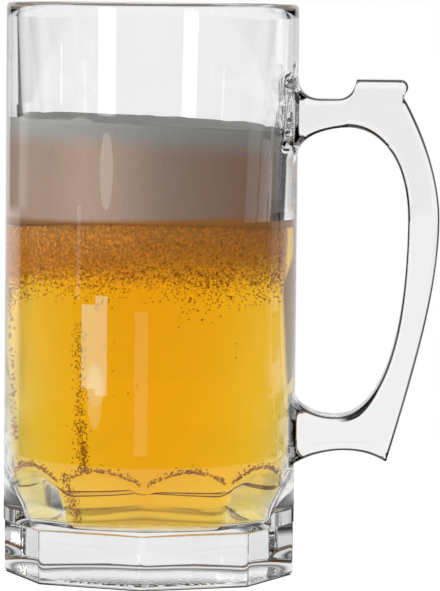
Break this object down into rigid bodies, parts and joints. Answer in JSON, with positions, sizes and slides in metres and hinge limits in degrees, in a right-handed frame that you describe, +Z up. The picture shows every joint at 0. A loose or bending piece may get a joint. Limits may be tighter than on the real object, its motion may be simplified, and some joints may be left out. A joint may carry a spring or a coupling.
{
  "type": "beer mug",
  "caption": "Tall straight-sided glass beer mug with a thick panelled foot and a bowed side handle with a thumb rest, filled with golden beer under a head of foam.",
  "frame": {"origin": "on the mug's axis, in the plane of the table it stands on", "axes": "+Z up along the mug's axis, +X out towards the handle, +Y by the right-hand rule"},
  "size_m": [0.1442, 0.097, 0.19],
  "materials": {
    "clear_glass": "polished",
    "beer": "gloss",
    "foam": "matte"
  },
  "bodies": {
    "root": {"body": "clear_glass", "handle": "clear_glass", "beer": "beer", "foam": "foam"}
  },
  "joints": []
}
